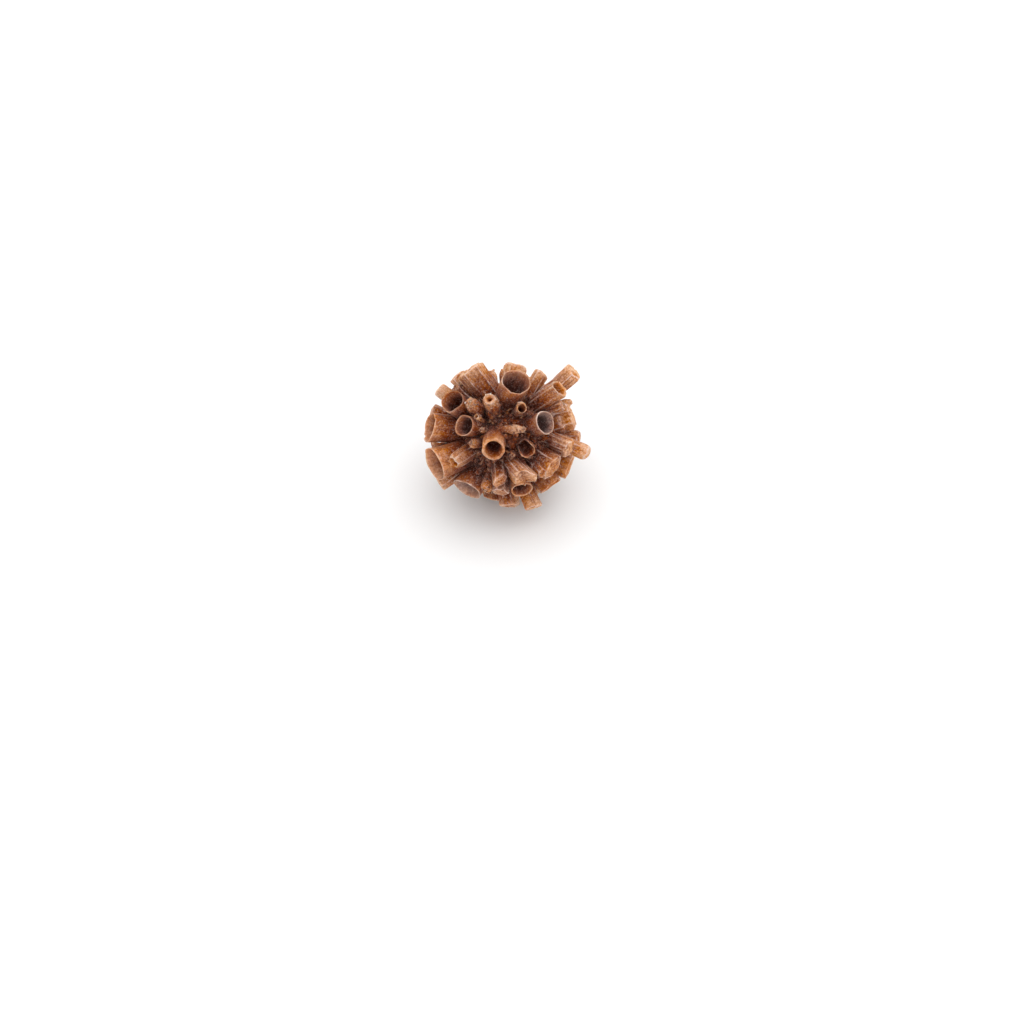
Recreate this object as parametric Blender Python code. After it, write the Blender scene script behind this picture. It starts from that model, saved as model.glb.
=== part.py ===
"""A palm-sized aragonite star cluster: brown crystals that grew out of one centre on all sides.

Some crystals are hollow, with a round mouth at the tip, some are six-sided prisms, and some are ridged
twins. They are fused into one solid. The cluster lies on four crystals underneath, whose tips are worn flat
where they stand. Z is up, and the origin is on the ground, at the middle of the cluster's width and depth.
"""

import math
import random
from collections import namedtuple

import bmesh
import bpy
from mathutils import Matrix, Vector, noise

MM = 0.001
BROWN = (0.27, 0.105, 0.05, 1.0)
SATIN = 0.42

# The cluster as a whole, in millimetres
CENTRE = Vector((-0.47, -0.83, 17.6))
CORE_RADIUS = 10.0
CORE_LUMP_HEIGHT = 1.4
CORE_LUMP_SPACING = 6.0
ROOT_SHARE_OF_CORE = 0.45
SEED = 7

# The crystals' places are read along a line of sight that comes down from the front at this angle
SIGHT_RISE = math.radians(45.0)
RIGHT = Vector((1.0, 0.0, 0.0))
UP = Vector((0.0, math.sin(SIGHT_RISE), math.cos(SIGHT_RISE)))
NEAR = Vector((0.0, -math.cos(SIGHT_RISE), math.sin(SIGHT_RISE)))

# The far side, whose crystals follow a rule instead of a list
FAR_SIDE_SPOTS = 170
FAR_SIDE_REACH = (17.0, 20.8)
FAR_SIDE_WIDTH = (3.0, 6.4)
FAR_SIDE_FORMS = ("cup", "prism", "prism", "twin", "prism", "cup")
FAR_SIDE_BORE = (0.66, 0.86)
FAR_SIDE_EDGE = 15.2
FAR_SIDE_MOST_NEAR = 0.1
FAR_SIDE_SCATTER = 0.09
SPACING_PER_WIDTH = math.radians(3.0)
GROUND_GAP = 0.6
GROUND_SIDE = 60.0
GROUND_DEPTH = 10.0

# Small crystals that crowd the core between the large ones
DRUSE_COUNT = 150
DRUSE_SIDES = 5
DRUSE_SCATTER = 0.1
DRUSE_CORNER_SCATTER = 0.15
DRUSE_WIDTH = (1.5, 2.8)
DRUSE_REACH = (11.0, 14.2)
DRUSE_TIP_SHARE = 0.55
DRUSE_FOOT = 7.5
DRUSE_BORE_MARGIN = 1.1

# Each crystal's tip and root are (right, up, near) from the cluster's centre. Width is across the tip, foot
# is the root's share of the width, flat is the section's thickness over its width, and bore is the mouth's
# share of the width. Lean is the way in which the end face rises, and how steeply, or None where chance says
FIELDS = "form tip width root flat bore foot lean"
Crystal = namedtuple("Crystal", FIELDS, defaults=((0.0, 0.0, 0.0), 1.0, 0.0, 0.7, None))

CRYSTALS = {
    "front cup": Crystal("cup", (-2.8, -3.0, 16.6), 5.6, root=(-2.4, 2.4, 5.0), bore=0.68, foot=0.95),
    "top cup": Crystal("cup", (2.5, 13.0, 11.6), 7.3, root=(-3.0, 2.0, 0.0), bore=0.84),
    "upper left cup": Crystal("cup", (-12.7, 8.6, 9.4), 5.9, root=(-5.0, 2.0, -3.0), bore=0.84, foot=0.85),
    "middle left cup": Crystal("cup", (-9.9, 2.6, 12.0), 5.4, root=(-1.0, 1.5, 3.0), bore=0.8),
    "left cup": Crystal("cup", (-18.3, 2.3, 5.2), 7.4, bore=0.84, foot=0.75),
    "lower left cup": Crystal("cup", (-17.0, -6.5, 6.6), 8.4, bore=0.86, foot=0.7),
    "bottom left cup": Crystal("cup", (-9.2, -12.6, 3.6), 7.6, bore=0.86, foot=0.75),
    "right cup": Crystal("cup", (9.5, 3.2, 12.0), 5.8, root=(1.5, 1.0, 3.0), bore=0.8, foot=0.85),
    "upper right tube": Crystal("prism", (12.8, 11.6, 9.0), 5.8, root=(0.0, 3.0, 0.0), bore=0.55, foot=0.85),
    "tube under the twin": Crystal("cup", (3.8, -12.7, 8.0), 5.4, bore=0.8),
    "middle right tube": Crystal("cup", (5.2, -3.4, 13.6), 4.2, root=(1.0, 3.0, 2.0), bore=0.7),
    "small upper tube": Crystal(
        "cup", (3.7, 6.7, 14.8), 3.0, root=(1.0, 5.0, 3.0), bore=0.58, foot=0.9, lean=(-0.4, 0.4, 0.0)
    ),
    "knob": Crystal("cup", (-4.0, 8.9, 14.8), 3.7, root=(-1.0, 1.0, 0.0), bore=0.36, foot=0.85),
    "lower right tube": Crystal("cup", (15.4, -7.2, -0.4), 6.2, bore=0.8, foot=0.8),
    "bottom right tube": Crystal("cup", (10.9, -11.7, 2.4), 5.8, bore=0.8, foot=0.8),
    "upper left slab": Crystal("prism", (-8.8, 16.2, 5.0), 7.0, root=(3.0, 1.0, 0.0), flat=0.7, foot=0.85),
    "slab behind": Crystal("prism", (-11.9, 14.8, 1.6), 4.8, root=(3.0, 1.0, 0.0), flat=0.8, foot=0.85),
    "left blob": Crystal("stub", (-8.4, 8.2, 13.2), 4.2, root=(-2.0, 2.0, 0.0)),
    "far left prism": Crystal("prism", (-16.2, 11.6, 0.6), 4.0, foot=0.9),
    "left prism": Crystal("prism", (-17.8, 6.3, 0.4), 3.8, foot=0.85),
    "grainy prism": Crystal("prism", (-12.2, 11.8, 2.5), 3.8, foot=0.85),
    "front left prism": Crystal("prism", (-12.6, -6.0, 11.0), 4.4, root=(0.0, 2.4, 0.0), bore=0.46, foot=0.9),
    "left shelf": Crystal("prism", (-17.7, -1.9, 5.2), 2.0, root=(0.0, 0.4, 0.0), flat=0.55, foot=0.8),
    "lower left prism": Crystal("prism", (-16.1, -10.9, 1.6), 4.8),
    "bottom stub": Crystal("stub", (-5.0, -12.6, 8.6), 3.6),
    "dark prism": Crystal(
        "prism", (-1.3, -10.6, 12.6), 4.0, root=(-3.0, 0.0, 2.0), flat=0.8, foot=0.85, lean=(-0.5, 0.0, -0.2)
    ),
    "grey prism": Crystal("prism", (-1.4, -13.1, 9.0), 5.2, flat=0.8),
    "bottom prism": Crystal("prism", (0.5, -16.5, 4.0), 4.4, root=(-1.0, 0.0, 0.0), flat=0.8),
    "lowest prism": Crystal("prism", (6.8, -17.1, 1.4), 4.9, root=(-1.0, 0.0, 0.0), foot=0.8),
    "bright twin": Crystal(
        "twin", (5.0, -10.3, 13.8), 5.8, root=(-3.9, 0.0, 1.0), foot=0.8, lean=(0.4, 0.35, 0.0)
    ),
    "right dark prism": Crystal("prism", (11.2, -7.4, 9.8), 6.6, flat=0.7, foot=0.9),
    "prism corner": Crystal("prism", (8.6, -8.8, 11.8), 3.0),
    "right ridged twin": Crystal("twin", (15.2, -2.9, 8.4), 5.0, root=(0.0, 3.4, 0.0), foot=0.85),
    "rightmost prism": Crystal("prism", (19.8, -4.2, 5.8), 3.8, root=(0.0, 4.2, 0.0), flat=0.8, foot=0.9),
    "right back prism": Crystal("prism", (17.8, -0.4, 1.8), 4.8, foot=0.85),
    "right fan": Crystal("prism", (16.1, 5.1, 2.6), 8.0, flat=0.7, foot=0.9),
    "right knob": Crystal("stub", (15.6, 8.6, 1.4), 2.6, foot=0.9),
    "longest prism": Crystal("prism", (16.6, 15.8, 1.8), 5.0, root=(0.0, 2.3, 0.0), foot=0.8),
    "lower slab": Crystal("prism", (13.6, 7.7, 7.6), 3.4, root=(0.5, 0.8, 0.0), flat=0.8, foot=0.85),
    "top fan": Crystal("prism", (2.6, 17.6, -4.6), 6.8, flat=0.7, foot=0.85),
    "top right prism": Crystal("prism", (8.8, 15.6, -0.4), 3.9, foot=0.9),
    "top left prism": Crystal("stub", (-3.6, 15.9, 2.0), 2.2, foot=0.9),
    "top sliver": Crystal("stub", (-0.8, 16.3, 0.6), 1.7, foot=0.9),
    "cross stub": Crystal("stub", (4.3, 1.5, 14.6), 2.1, root=(-2.0, 2.0, 11.0), foot=0.9),
    "tiny stub": Crystal("stub", (-6.0, 1.8, 14.0), 1.6),
    "tiny tube": Crystal("stub", (-7.1, 5.0, 13.6), 1.7),
    "left lump": Crystal("stub", (-8.2, -1.6, 12.6), 3.0),
    "middle lump": Crystal("stub", (1.6, -4.6, 13.0), 2.4),
    "front foot": Crystal("prism", (1.4, -16.4, -9.3), 4.6),
    "right foot": Crystal("prism", (8.0, -10.8, -15.0), 4.8),
    "left foot": Crystal("twin", (-8.2, -11.0, -14.7), 4.8),
    "back foot": Crystal("prism", (-0.6, -6.2, -19.5), 4.4),
}

# Cross-sections, and the stations along a crystal as (share of its length, share of its width)
SIDES = {"cup": 14, "prism": 6, "ledged": 6, "twin": 12, "stub": 7}
CORNER_SCATTER = {"cup": 0.02, "prism": 0.07, "ledged": 0.07, "twin": 0.09, "stub": 0.1}
TWIN_NOTCH = 0.84
BORE_DEPTH_SHARE = 0.34
BORE_TAPER = 0.72
SHALLOW_BORE = 0.5
SHALLOW_DEPTH_SHARE = 0.4
END_TILT = 0.16
TIP_STATIONS = {
    "prism": ((0.97, 1.0), (1.0, 0.9)),
    "ledged": ((0.78, 1.0), (0.8, 0.84), (1.0, 0.86)),
    "twin": ((1.0, 1.0),),
    "stub": ((0.9, 1.0), (1.0, 0.6)),
}
LEDGED_SHARE = 0.35
GOLDEN_TURN = math.pi * (3.0 - math.sqrt(5.0))


def clear_scene():
    for thing in list(bpy.data.objects):
        bpy.data.objects.remove(thing)


def from_sight(place):
    """The point, from the cluster's centre, that a (right, up, near) triple names."""
    right, up, near = place
    return RIGHT * right + UP * up + NEAR * near


def to_sight(point):
    return tuple(point.dot(axis) for axis in (RIGHT, UP, NEAR))


def spiral_way(spot, spots, rng, scatter):
    """One of a number of directions spread evenly all round, like seeds on a round head."""
    height = 1.0 - 2.0 * (spot + 0.5) / spots
    ring = math.sqrt(1.0 - height * height)
    turn = GOLDEN_TURN * spot
    way = Vector((ring * math.cos(turn), ring * math.sin(turn), height))
    return (way + Vector([rng.uniform(-scatter, scatter) for _ in range(3)])).normalized()


def far_side_crystals():
    """Crystals that fill the side away from the line of sight, between the named ones."""
    taken = [(from_sight(crystal.tip).normalized(), crystal.width) for crystal in CRYSTALS.values()]
    found = {}
    for spot in range(FAR_SIDE_SPOTS):
        rng = random.Random(f"{SEED} spot {spot}")
        way = spiral_way(spot, FAR_SIDE_SPOTS, rng, FAR_SIDE_SCATTER)
        reach, width = rng.uniform(*FAR_SIDE_REACH), rng.uniform(*FAR_SIDE_WIDTH)
        form, bore = rng.choice(FAR_SIDE_FORMS), rng.uniform(*FAR_SIDE_BORE)
        crowded = any(way.angle(other) < SPACING_PER_WIDTH * (width + wide) / 2.0 for other, wide in taken)
        if crowded or way.dot(NEAR) > FAR_SIDE_MOST_NEAR:
            continue
        taken.append((way, width))
        spread = way.cross(NEAR).length
        reach = min(reach, FAR_SIDE_EDGE / spread)
        if way.z < 0.0:
            reach = min(reach, (CENTRE.z - GROUND_GAP - width / 2.0) / -way.z)
        found[f"far {spot}"] = Crystal(form, to_sight(way * reach), width, bore=bore)
    return found


def axis_of(crystal):
    """Where a crystal starts in the core, its direction and its length."""
    root, tip = from_sight(crystal.root), from_sight(crystal.tip)
    axis = (tip - root).normalized()
    start = root + axis * max(0.0, CORE_RADIUS * ROOT_SHARE_OF_CORE - root.length)
    return start, axis, (tip - start).length


def in_a_bore(place, margin, crystals):
    """Whether a place, from the cluster's centre, is in, near or over the hollow of a crystal."""
    for crystal in crystals:
        start, axis, length = axis_of(crystal)
        along = (place - start).dot(axis)
        across = (place - start - axis * along).length
        above_floor = crystal.bore > SHALLOW_BORE and along > length * (1.0 - BORE_DEPTH_SHARE)
        if above_floor and across < crystal.bore * crystal.width / 2.0 + margin:
            return True
    return False


def crystal_frame(crystal, rng):
    """A matrix whose Z runs from the crystal's root to its tip, turned about it by chance, and the length."""
    start, axis, length = axis_of(crystal)
    across = (NEAR - axis * NEAR.dot(axis)).normalized()
    basis = Matrix((across.cross(axis), across, axis)).transposed()
    if crystal.flat == 1.0:
        basis = basis @ Matrix.Rotation(rng.uniform(0.0, math.pi / 3.0), 3, "Z")
    return Matrix.Translation(start) @ basis.to_4x4(), length


def cross_section(form, flat, rng):
    """The corners of a crystal's section, about one unit from its middle."""
    corners = []
    for index in range(SIDES[form]):
        turn = 2.0 * math.pi * index / SIDES[form]
        radius = 1.0 + rng.uniform(-1.0, 1.0) * CORNER_SCATTER[form]
        if form == "twin" and index % 2:
            radius *= TWIN_NOTCH
        corners.append((radius * math.cos(turn), radius * flat * math.sin(turn)))
    return corners


def stations_of(crystal, form, length):
    """Heights and width shares, up the outside from the root and, in a hollow crystal, on down the bore."""
    if not crystal.bore:
        return [(0.0, crystal.foot)] + [(share * length, wide) for share, wide in TIP_STATIONS[form]]
    depth = BORE_DEPTH_SHARE * length if crystal.bore > SHALLOW_BORE else SHALLOW_DEPTH_SHARE * crystal.width
    bottom = crystal.bore * BORE_TAPER
    return [(0.0, crystal.foot), (length, 1.0), (length, crystal.bore), (length - depth, bottom)]


def bridge(mesh, rings):
    """Closes a stack of rings into a solid, with a face on the first and the last."""
    faces = [mesh.faces.new(rings[0]), mesh.faces.new(rings[-1])]
    for lower, upper in zip(rings, rings[1:]):
        for index, corner in enumerate(lower):
            after = (index + 1) % len(lower)
            faces.append(mesh.faces.new((corner, lower[after], upper[after], upper[index])))
    bmesh.ops.recalc_face_normals(mesh, faces=faces)


def add_crystal(mesh, name, crystal):
    """Adds one closed crystal to the mesh."""
    rng = random.Random(f"{SEED} {name}")
    form = "ledged" if crystal.form == "prism" and rng.random() < LEDGED_SHARE else crystal.form
    corners = cross_section(form, crystal.flat, rng)
    frame, length = crystal_frame(crystal, rng)
    lean_x, lean_y = (rng.uniform(-END_TILT, END_TILT) for _ in range(2))
    if crystal.lean:
        lean_x, lean_y, _ = frame.to_3x3().transposed() @ from_sight(crystal.lean)
    radius = crystal.width / 2.0
    rings = []
    for height, wide in stations_of(crystal, form, length):
        ring = []
        for x, y in corners:
            x, y = x * wide * radius, y * wide * radius
            rise = height + height / length * (lean_x * x + lean_y * y)
            ring.append(mesh.verts.new((frame @ Vector((x, y, rise)) + CENTRE) * MM))
        rings.append(ring)
    bridge(mesh, rings)


def add_druse(mesh, crystals):
    """Adds the small pointed crystals that crowd the core, but for those that would fill a hollow."""
    rng = random.Random(SEED)
    for spot in range(DRUSE_COUNT):
        way = spiral_way(spot, DRUSE_COUNT, rng, DRUSE_SCATTER)
        reach, width = rng.uniform(*DRUSE_REACH), rng.uniform(*DRUSE_WIDTH)
        corners = [index + rng.uniform(-1.0, 1.0) * DRUSE_CORNER_SCATTER for index in range(DRUSE_SIDES)]
        if in_a_bore(way * reach, DRUSE_BORE_MARGIN, crystals):
            continue
        turned = way.to_track_quat("Z", "Y").to_matrix()
        rings = [[], []]
        for corner in corners:
            turn = 2.0 * math.pi * corner / DRUSE_SIDES
            x, y = math.cos(turn) * width / 2.0, math.sin(turn) * width / 2.0
            for ring, share, height in zip(rings, (1.0, DRUSE_TIP_SHARE), (DRUSE_FOOT, reach)):
                place = turned @ Vector((x * share, y * share, height))
                ring.append(mesh.verts.new((place + CENTRE) * MM))
        bridge(mesh, rings)


def object_from(mesh, name):
    data = bpy.data.meshes.new(name)
    mesh.to_mesh(data)
    mesh.free()
    made = bpy.data.objects.new(name, data)
    bpy.context.scene.collection.objects.link(made)
    return made


def make_core():
    """The lumpy middle that every crystal grows from."""
    mesh = bmesh.new()
    bmesh.ops.create_icosphere(mesh, subdivisions=2, radius=CORE_RADIUS)
    for vertex in mesh.verts:
        lump = noise.noise(vertex.co / CORE_LUMP_SPACING) * CORE_LUMP_HEIGHT
        vertex.co = (vertex.co * (1.0 + lump / CORE_RADIUS) + CENTRE) * MM
    return object_from(mesh, "star_cluster")


def make_crystals():
    mesh = bmesh.new()
    crystals = CRYSTALS | far_side_crystals()
    for name, crystal in crystals.items():
        add_crystal(mesh, name, crystal)
    add_druse(mesh, crystals.values())
    return object_from(mesh, "crystals")


def make_ground_cutter():
    """A block below the ground, which wears the lowest tips flat."""
    mesh = bmesh.new()
    bmesh.ops.create_cube(mesh, size=1.0)
    for vertex in mesh.verts:
        x, y, z = vertex.co
        vertex.co = Vector((x * GROUND_SIDE, y * GROUND_SIDE, (z - 0.5) * GROUND_DEPTH)) * MM
    return object_from(mesh, "ground_cutter")


def combine(body, helper, operation, with_itself=False):
    """Adds a Boolean to the body, with the helper as its other object."""
    helper.hide_render = True
    helper.display_type = "WIRE"
    modifier = body.modifiers.new(operation.lower(), "BOOLEAN")
    modifier.operation = operation
    modifier.object = helper
    modifier.use_self = with_itself


def aragonite():
    material = bpy.data.materials.new("aragonite")
    material.use_nodes = True
    shader = material.node_tree.nodes["Principled BSDF"]
    shader.inputs["Base Color"].default_value = BROWN
    shader.inputs["Roughness"].default_value = SATIN
    shader.inputs["Metallic"].default_value = 0.0
    return material


def main():
    clear_scene()
    cluster = make_core()
    cluster.data.materials.append(aragonite())
    combine(cluster, make_crystals(), "UNION", with_itself=True)
    combine(cluster, make_ground_cutter(), "DIFFERENCE")


main()
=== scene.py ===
"""Looks of a palm-sized brown aragonite star cluster, grown over its CAD solid.

The crystals stand where the solid has them, from the same table and the same seeded rule. Each gets what the
solid leaves out: columns and ledges on the prisms, thin wavy rims and rounded bores on the tubes, grains near
the roots, and a crust of tiny crystals between them. All lengths are in millimetres until a mesh is made.
"""

import math
import random
from collections import namedtuple
from functools import partial
from itertools import product

import bpy
import numpy as np
from bpy.props import FloatProperty, FloatVectorProperty, IntProperty, PointerProperty
from bpy.types import Operator, Panel, PropertyGroup
from mathutils import Matrix, Vector


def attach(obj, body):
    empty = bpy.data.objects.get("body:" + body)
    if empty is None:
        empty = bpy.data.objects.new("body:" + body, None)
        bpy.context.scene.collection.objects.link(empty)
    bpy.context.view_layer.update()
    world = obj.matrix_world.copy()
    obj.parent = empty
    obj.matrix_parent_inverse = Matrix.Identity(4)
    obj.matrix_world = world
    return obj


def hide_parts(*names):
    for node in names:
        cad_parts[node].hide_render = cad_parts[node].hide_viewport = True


bl_info = {
    "name": "Aragonite Star Cluster",
    "version": (1, 0, 0),
    "blender": (4, 5, 0),
    "location": "3D View > Sidebar > Aragonite",
    "description": "Grows the visible crystals of a brown aragonite star cluster over its CAD solid",
    "category": "Object",
}

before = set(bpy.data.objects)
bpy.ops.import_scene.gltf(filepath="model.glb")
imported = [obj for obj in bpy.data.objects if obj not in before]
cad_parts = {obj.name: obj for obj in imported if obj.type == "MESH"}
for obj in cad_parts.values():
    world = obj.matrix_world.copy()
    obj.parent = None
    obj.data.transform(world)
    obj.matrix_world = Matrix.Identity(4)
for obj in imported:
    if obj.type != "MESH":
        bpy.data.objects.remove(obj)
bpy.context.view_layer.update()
MM = 0.001

# The cluster's own measures, the same as its solid's
CENTRE = Vector((-0.47, -0.83, 17.6))
MIDDLE = np.array(CENTRE)
CORE_RADIUS = 10.0
ROOT_SHARE_OF_CORE = 0.45
SEED = 7
SIGHT_RISE = math.radians(45.0)
RIGHT = Vector((1.0, 0.0, 0.0))
UP = Vector((0.0, math.sin(SIGHT_RISE), math.cos(SIGHT_RISE)))
NEAR = Vector((0.0, -math.cos(SIGHT_RISE), math.sin(SIGHT_RISE)))

FAR_SIDE_SPOTS = 170
FAR_SIDE_REACH = (17.0, 20.8)
FAR_SIDE_WIDTH = (3.0, 6.4)
FAR_SIDE_FORMS = ("cup", "prism", "prism", "twin", "prism", "cup")
FAR_SIDE_BORE = (0.66, 0.86)
FAR_SIDE_EDGE = 15.2
FAR_SIDE_MOST_NEAR = 0.1
FAR_SIDE_SCATTER = 0.09
SPACING_PER_WIDTH = math.radians(3.0)
GROUND_GAP = 0.6

DRUSE_COUNT = 150
DRUSE_SIDES = 5
DRUSE_SCATTER = 0.1
DRUSE_CORNER_SCATTER = 0.15
DRUSE_WIDTH = (1.5, 2.8)
DRUSE_REACH = (11.0, 14.2)
DRUSE_TIP_SHARE = 0.55
DRUSE_FOOT = 7.5
DRUSE_BORE_MARGIN = 1.1

# Tip, root and lean are (right, up, near) from the centre, as in the solid. Flat, bore and foot are shares of
# the width: how thick the crystal is, how wide its hole is and how wide its root is
FIELDS = "form tip width root flat bore foot lean"
Crystal = namedtuple("Crystal", FIELDS, defaults=((0.0, 0.0, 0.0), 1.0, 0.0, 0.7, None))
cup, prism, twin, stub = (partial(Crystal, form) for form in ("cup", "prism", "twin", "stub"))

CRYSTALS = {
    "front cup": cup((-2.8, -3.0, 16.6), 5.6, root=(-2.4, 2.4, 5.0), bore=0.68, foot=0.95),
    "top cup": cup((2.5, 13.0, 11.6), 7.3, root=(-3.0, 2.0, 0.0), bore=0.84),
    "upper left cup": cup((-12.7, 8.6, 9.4), 5.9, root=(-5.0, 2.0, -3.0), bore=0.84, foot=0.85),
    "middle left cup": cup((-9.9, 2.6, 12.0), 5.4, root=(-1.0, 1.5, 3.0), bore=0.8),
    "left cup": cup((-18.3, 2.3, 5.2), 7.4, bore=0.84, foot=0.75),
    "lower left cup": cup((-17.0, -6.5, 6.6), 8.4, bore=0.86, foot=0.7),
    "bottom left cup": cup((-9.2, -12.6, 3.6), 7.6, bore=0.86, foot=0.75),
    "right cup": cup((9.5, 3.2, 12.0), 5.8, root=(1.5, 1.0, 3.0), bore=0.8, foot=0.85),
    "upper right tube": prism((12.8, 11.6, 9.0), 5.8, root=(0.0, 3.0, 0.0), bore=0.55, foot=0.85),
    "tube under the twin": cup((3.8, -12.7, 8.0), 5.4, bore=0.8),
    "middle right tube": cup((5.2, -3.4, 13.6), 4.2, root=(1.0, 3.0, 2.0), bore=0.7),
    "small upper tube": cup(
        (3.7, 6.7, 14.8), 3.0, root=(1.0, 5.0, 3.0), bore=0.58, foot=0.9, lean=(-0.4, 0.4, 0.0)
    ),
    "knob": cup((-4.0, 8.9, 14.8), 3.7, root=(-1.0, 1.0, 0.0), bore=0.36, foot=0.85),
    "lower right tube": cup((15.4, -7.2, -0.4), 6.2, bore=0.8, foot=0.8),
    "bottom right tube": cup((10.9, -11.7, 2.4), 5.8, bore=0.8, foot=0.8),
    "upper left slab": prism((-8.8, 16.2, 5.0), 7.0, root=(3.0, 1.0, 0.0), flat=0.7, foot=0.85),
    "slab behind": prism((-11.9, 14.8, 1.6), 4.8, root=(3.0, 1.0, 0.0), flat=0.8, foot=0.85),
    "left blob": stub((-8.4, 8.2, 13.2), 4.2, root=(-2.0, 2.0, 0.0)),
    "far left prism": prism((-16.2, 11.6, 0.6), 4.0, foot=0.9),
    "left prism": prism((-17.8, 6.3, 0.4), 3.8, foot=0.85),
    "grainy prism": prism((-12.2, 11.8, 2.5), 3.8, foot=0.85),
    "front left prism": prism((-12.6, -6.0, 11.0), 4.4, root=(0.0, 2.4, 0.0), bore=0.46, foot=0.9),
    "left shelf": prism((-17.7, -1.9, 5.2), 2.0, root=(0.0, 0.4, 0.0), flat=0.55, foot=0.8),
    "lower left prism": prism((-16.1, -10.9, 1.6), 4.8),
    "bottom stub": stub((-5.0, -12.6, 8.6), 3.6),
    "dark prism": prism(
        (-1.3, -10.6, 12.6), 4.0, root=(-3.0, 0.0, 2.0), flat=0.8, foot=0.85, lean=(-0.5, 0.0, -0.2)
    ),
    "grey prism": prism((-1.4, -13.1, 9.0), 5.2, flat=0.8),
    "bottom prism": prism((0.5, -16.5, 4.0), 4.4, root=(-1.0, 0.0, 0.0), flat=0.8),
    "lowest prism": prism((6.8, -17.1, 1.4), 4.9, root=(-1.0, 0.0, 0.0), foot=0.8),
    "bright twin": twin((5.0, -10.3, 13.8), 5.8, root=(-3.9, 0.0, 1.0), foot=0.8, lean=(0.4, 0.35, 0.0)),
    "right dark prism": prism((11.2, -7.4, 9.8), 6.6, flat=0.7, foot=0.9),
    "prism corner": prism((8.6, -8.8, 11.8), 3.0),
    "right ridged twin": twin((15.2, -2.9, 8.4), 5.0, root=(0.0, 3.4, 0.0), foot=0.85),
    "rightmost prism": prism((19.8, -4.2, 5.8), 3.8, root=(0.0, 4.2, 0.0), flat=0.8, foot=0.9),
    "right back prism": prism((17.8, -0.4, 1.8), 4.8, foot=0.85),
    "right fan": prism((16.1, 5.1, 2.6), 8.0, flat=0.7, foot=0.9),
    "right knob": stub((15.6, 8.6, 1.4), 2.6, foot=0.9),
    "longest prism": prism((16.6, 15.8, 1.8), 5.0, root=(0.0, 2.3, 0.0), foot=0.8),
    "lower slab": prism((13.6, 7.7, 7.6), 3.4, root=(0.5, 0.8, 0.0), flat=0.8, foot=0.85),
    "top fan": prism((2.6, 17.6, -4.6), 6.8, flat=0.7, foot=0.85),
    "top right prism": prism((8.8, 15.6, -0.4), 3.9, foot=0.9),
    "top left prism": stub((-3.6, 15.9, 2.0), 2.2, foot=0.9),
    "top sliver": stub((-0.8, 16.3, 0.6), 1.7, foot=0.9),
    "cross stub": stub((4.3, 1.5, 14.6), 2.1, root=(-2.0, 2.0, 11.0), foot=0.9),
    "tiny stub": stub((-6.0, 1.8, 14.0), 1.6),
    "tiny tube": stub((-7.1, 5.0, 13.6), 1.7),
    "left lump": stub((-8.2, -1.6, 12.6), 3.0),
    "middle lump": stub((1.6, -4.6, 13.0), 2.4),
    "front foot": prism((1.4, -16.4, -9.3), 4.6),
    "right foot": prism((8.0, -10.8, -15.0), 4.8),
    "left foot": twin((-8.2, -11.0, -14.7), 4.8),
    "back foot": prism((-0.6, -6.2, -19.5), 4.4),
}

# For each form: its sides and how far its corners scatter, as the solid has them, then its spokes, how far
# its columns are set back, how deep its stripes are, how far its tops drop, how many of its columns end
# early, and the shares of its length at which its end narrows, with how much
Form = namedtuple("Form", "sides scatter spokes set_back stripe drop early end", defaults=(None,) * 5)
FLAT_END = ((0.0, 0.985, 1.0), (0.0, 0.0, 0.045))
TWIN_END = ((0.0, 0.985, 1.0), (0.0, 0.0, 0.04))
BLUNT_END = ((0.0, 0.8, 0.88, 0.94, 0.975, 1.0), (0.0, 0.0, 0.05, 0.14, 0.26, 0.45))
FORMS = {
    "cup": Form(14, 0.02, 84),
    "prism": Form(6, 0.07, 84, 0.06, 0.025, 0.06, 0.04, FLAT_END),
    "ledged": Form(6, 0.07, 84, 0.08, 0.03, 0.12, 0.2, FLAT_END),
    "twin": Form(12, 0.09, 96, 0.16, 0.09, 0.18, 0.08, TWIN_END),
    "stub": Form(7, 0.1, 56, 0.1, 0.03, 0.08, 0.0, BLUNT_END),
}
TWIN_NOTCH = 0.84
BORE_DEPTH_SHARE = 0.34
BORE_TAPER = 0.72
SHALLOW_BORE = 0.5
SHALLOW_DEPTH_SHARE = 0.4
END_TILT = 0.16
LEDGED_SHARE = 0.35
GOLDEN_TURN = math.pi * (3.0 - math.sqrt(5.0))

# What only the eye needs. Lengths are in millimetres
BURIED = 4.6
RING_SPACING = 0.5
TIP_SPACING = 0.16
TIP_LENGTH = 1.3
BORE_NEIGHBOUR = 16.0
SWELL_LENGTH = 2.2
BEND_LENGTH = 5.0
STRIPE_WIDTH = 0.3
GRAIN_SIZES = (0.42, 0.2)
THICKEST_LIP = 0.7

# Width and length of the swells on a crystal's sides, and how deep they and the other relief are
SOLID_LUMPS, STUB_LUMP_DEPTH = (1.2, 1.3), 0.5
TUBE_LUMPS, TUBE_LUMP_DEPTH = (1.5, 1.7), 0.8
RIBS, RIB_DEPTH = (0.8, 6.0), 0.16
FINE_RIBS, FINE_RIB_DEPTH = (0.3, 3.0), 0.05
BORE_LUMPS, BORE_LUMP_DEPTH = (1.4, 1.4), 0.06
GROOVE_DEPTH, TUBE_GROOVE_DEPTH = 0.07, 0.12
CHIP_DEPTH = 0.3
TOP_SLOPE = 0.22

# How far the painted highlight reaches from a corner, the top of a column, a ledge and a rim, how far the
# painted shade reaches from a column's border, and a corner so far away that it has none
CORNER_HIGHLIGHT = 0.09
END_HIGHLIGHT = 0.1
LEDGE_HIGHLIGHT = 0.12
RIM_HIGHLIGHT = 0.14
GROOVE_WIDTH, TUBE_GROOVE_WIDTH = 0.07, 0.09
CRACK_WIDTH = 0.06
NO_CORNER = 9.0
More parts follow.
